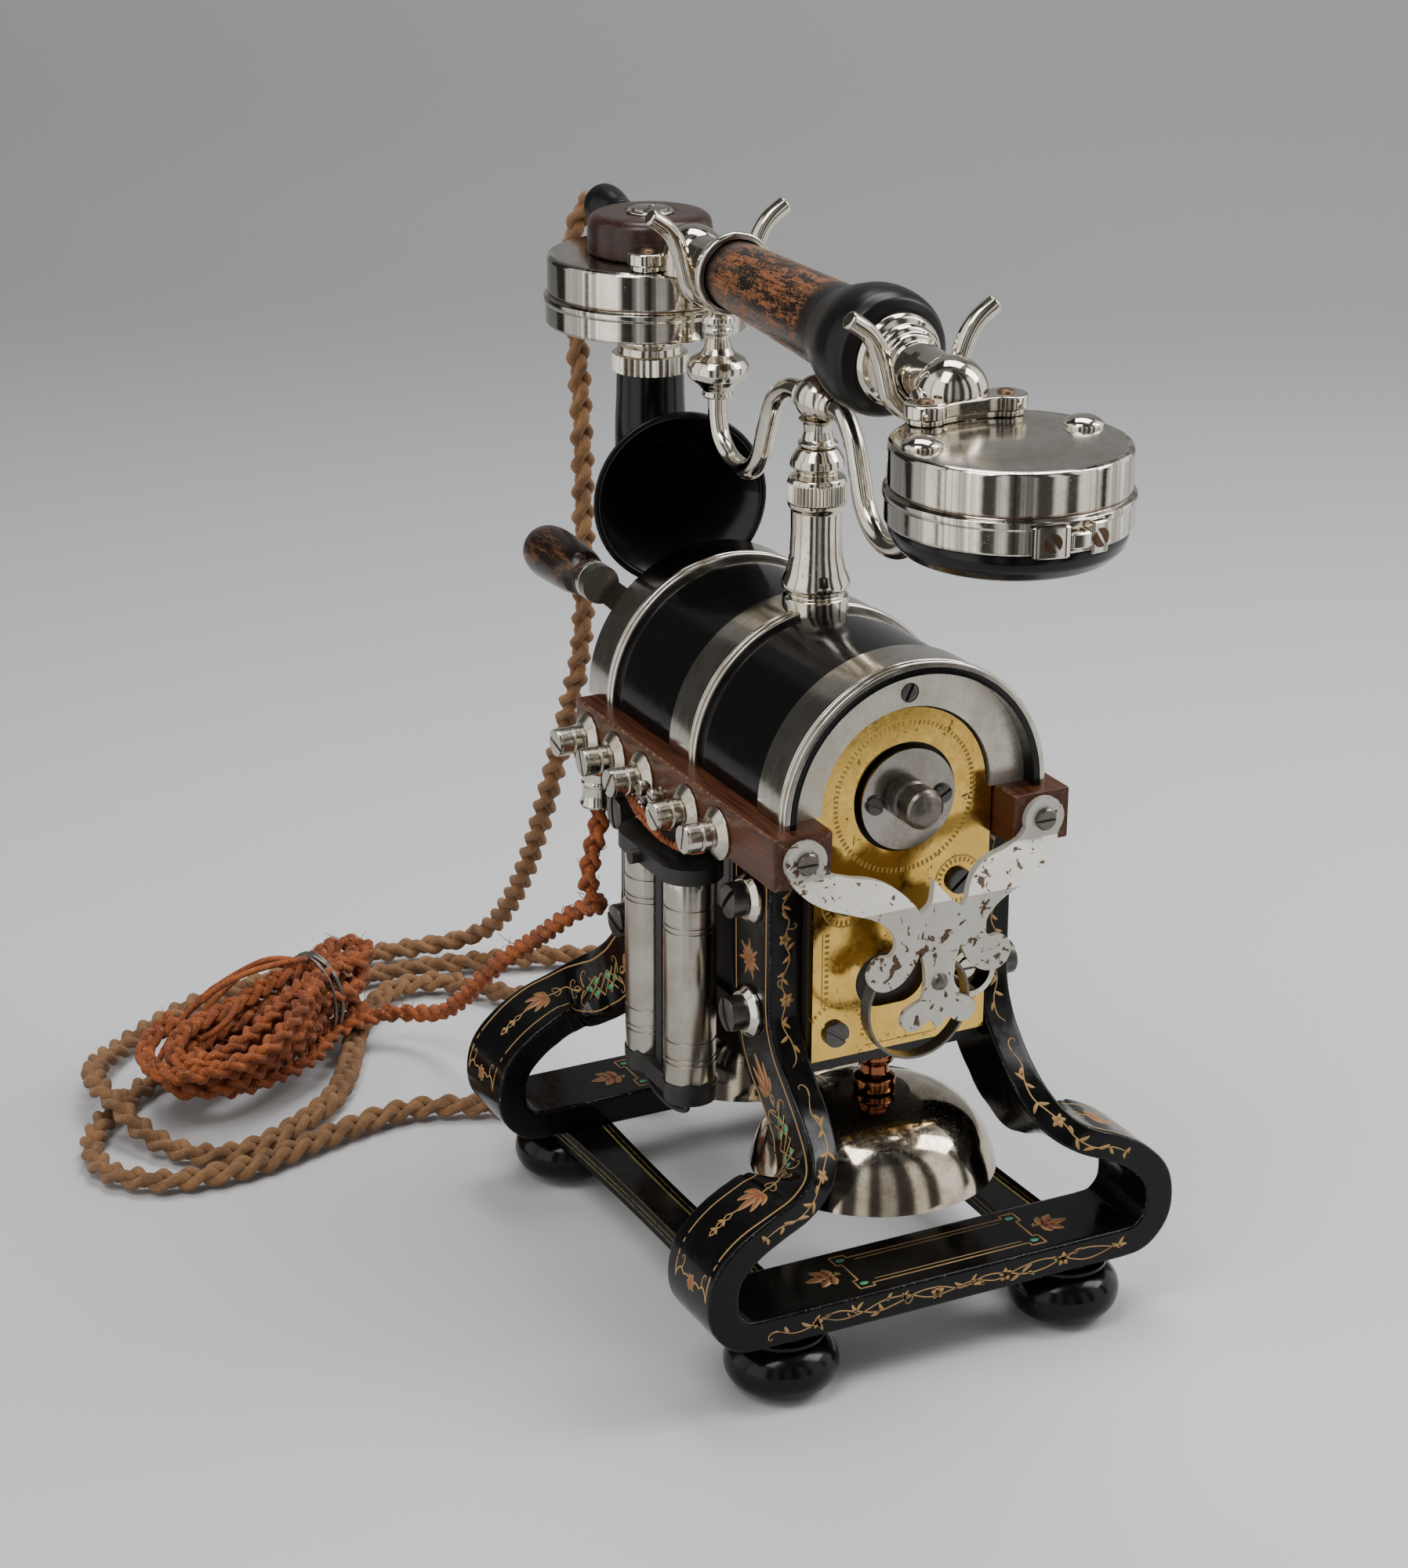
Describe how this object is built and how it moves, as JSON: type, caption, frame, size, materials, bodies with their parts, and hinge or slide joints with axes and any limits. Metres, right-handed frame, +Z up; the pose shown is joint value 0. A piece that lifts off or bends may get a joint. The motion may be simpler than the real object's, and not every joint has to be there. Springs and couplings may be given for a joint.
{
  "type": "magneto desk telephone",
  "caption": "Open-frame magneto desk telephone: lyre legs on bun feet, bells, barrel generator with side crank, cradle post, handset with horn, cloth cords",
  "frame": {"origin": "on the table, under the middle of the telephone's own box, cords left out", "axes": "+Z up, -Y the front with the bearing plate and the receiver, -X the side with the terminals"},
  "size_m": [0.2718, 0.4088, 0.3223],
  "materials": {
    "japanned_iron": "semi-gloss black japan, worn pale at the edges",
    "inner_iron": "dull black",
    "mahogany": "polished mahogany",
    "barrel_black": "gloss black",
    "nickel": "worn nickel plate",
    "nickel_bands": "polished nickel bands",
    "brass": "tarnished engraved brass",
    "dark_steel": "blued screws",
    "copper": "copper-coloured turned spindles",
    "bell_metal": "nickel-plated bell, speckled",
    "magnet_steel": "bare steel",
    "winding": "armature iron and winding",
    "ebonite": "gloss black ebonite",
    "handle_wood": "dark turned wood",
    "grip_wood": "black lacquer worn to the wood",
    "brown_cloth": "braided brown cloth",
    "orange_cloth": "braided orange cloth"
  },
  "bodies": {
    "stand": {"foot_front_left": "japanned_iron", "foot_front_right": "japanned_iron", "foot_rear_left": "japanned_iron", "foot_rear_right": "japanned_iron", "strap_left": "japanned_iron", "strap_right": "japanned_iron", "frame_front": "japanned_iron", "frame_rear": "japanned_iron", "rail_left": "mahogany", "rail_right": "mahogany", "barrel_cover": "barrel_black", "band_front": "nickel_bands", "band_middle": "nickel_bands", "band_rear": "nickel_bands", "end_ring_front": "nickel_bands", "end_ring_rear": "nickel_bands", "casting_front": "inner_iron", "casting_rear": "inner_iron", "bearing_plate_front": "brass", "bearing_plate_rear": "brass", "bearing_disc_front": "nickel", "bearing_disc_rear": "nickel", "plate_screws": "dark_steel", "ringer_bush": "nickel", "magnets": "magnet_steel", "pole_left": "magnet_steel", "pole_right": "magnet_steel", "base_plate": "inner_iron", "gong_front": "bell_metal", "gong_rear": "bell_metal", "gong_post_front": "copper", "gong_post_rear": "copper", "coils": "nickel", "coil_yoke": "inner_iron", "leg_screws": "dark_steel", "terminals": "nickel", "leads": "orange_cloth", "cord_gland": "nickel", "rear_cord_gland": "nickel", "front_ornament": "nickel", "spring_hoop": "nickel", "post": "nickel", "handset_cord": "brown_cloth", "line_cord": "orange_cloth", "line_cord_hank": "orange_cloth"},
    "crank": {"crank_shaft": "magnet_steel", "crank_arm": "magnet_steel"},
    "crank_knob": {"crank_handle": "handle_wood"},
    "armature": {"armature": "winding"},
    "cradle": {"cradle": "nickel"},
    "handset": {"handset_grip": "grip_wood", "handset_fittings": "nickel", "receiver": "nickel", "receiver_cap": "ebonite", "transmitter": "nickel"},
    "mouthpiece": {"mouthpiece": "ebonite"},
    "clapper": {"clapper": "nickel"}
  },
  "joints": [
    {"name": "crank_turn", "type": "hinge", "parent": "stand", "child": "crank", "pos_m": [0, 0, 0.171], "axis": [0, -1, 0], "range_deg": [0, 270]},
    {"name": "crank_knob_spin", "type": "hinge", "parent": "crank", "child": "crank_knob", "pos_m": [-0.03548, 0.1, 0.20228], "axis": [0, -1, 0], "continuous": true},
    {"name": "armature_spin", "type": "hinge", "parent": "stand", "child": "armature", "pos_m": [0, 0, 0.136], "axis": [0, -1, 0], "range_deg": [-1243, 1]},
    {"name": "handset_lift", "type": "slide", "parent": "stand", "child": "handset", "axis": [0, 0, 1], "range_m": [0, 0.05]},
    {"name": "cradle_rise", "type": "slide", "parent": "stand", "child": "cradle", "axis": [0, 0, 1], "range_m": [0, 0.005]},
    {"name": "mouthpiece_turn", "type": "hinge", "parent": "handset", "child": "mouthpiece", "pos_m": [0, 0.1103, 0.26], "axis": [0, 0, 1], "range_deg": [0, 25]},
    {"name": "clapper_swing", "type": "hinge", "parent": "stand", "child": "clapper", "pos_m": [0, -0.003, 0.083], "axis": [1, 0, 0], "range_deg": [-2.5, 2.5]}
  ],
  "couplings": [
    {"joint": "armature_spin", "follows": "crank_turn", "ratio": -4.6},
    {"joint": "cradle_rise", "follows": "handset_lift", "ratio": 0.08}
  ]
}
